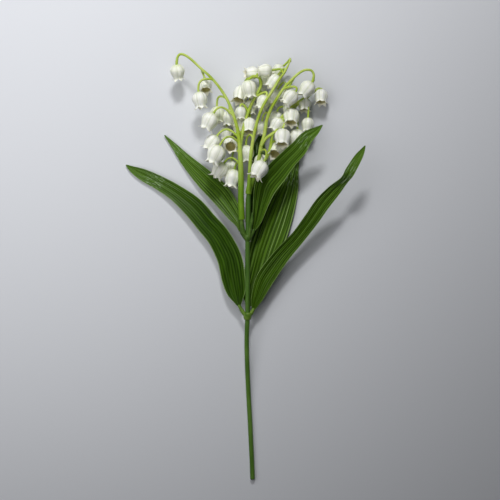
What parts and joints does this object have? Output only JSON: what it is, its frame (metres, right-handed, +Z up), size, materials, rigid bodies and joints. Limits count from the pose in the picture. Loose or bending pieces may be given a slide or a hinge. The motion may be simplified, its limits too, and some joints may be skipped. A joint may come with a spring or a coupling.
{
  "type": "artificial lily of the valley stem",
  "caption": "Artificial lily of the valley lying flat: coated stem, two moulded collars, strap leaves and arching sprays of white bells.",
  "frame": {"origin": "on the surface, under the straight lower stem, at the middle of the stem's flat resting strip", "axes": "+Y up the stem towards the flowers, +Z up from the surface the stem lies on, +X to the right as seen from above with the flowers away"},
  "size_m": [0.2138, 0.3831, 0.0429],
  "materials": {
    "stem": "satin",
    "collar": "satin",
    "leaf": "satin",
    "bell": "satin",
    "spray_stem": "satin"
  },
  "bodies": {
    "root": {"stem": "stem", "collar_lower": "collar", "collar_upper": "collar", "leaf_lower_left": "leaf", "leaf_lower_right": "leaf", "leaf_lower_back": "leaf", "leaf_upper_left": "leaf", "leaf_upper_right": "leaf", "leaf_upper_back": "leaf", "spray_left": "bell", "spray_centre": "bell", "spray_right": "bell"}
  },
  "joints": []
}
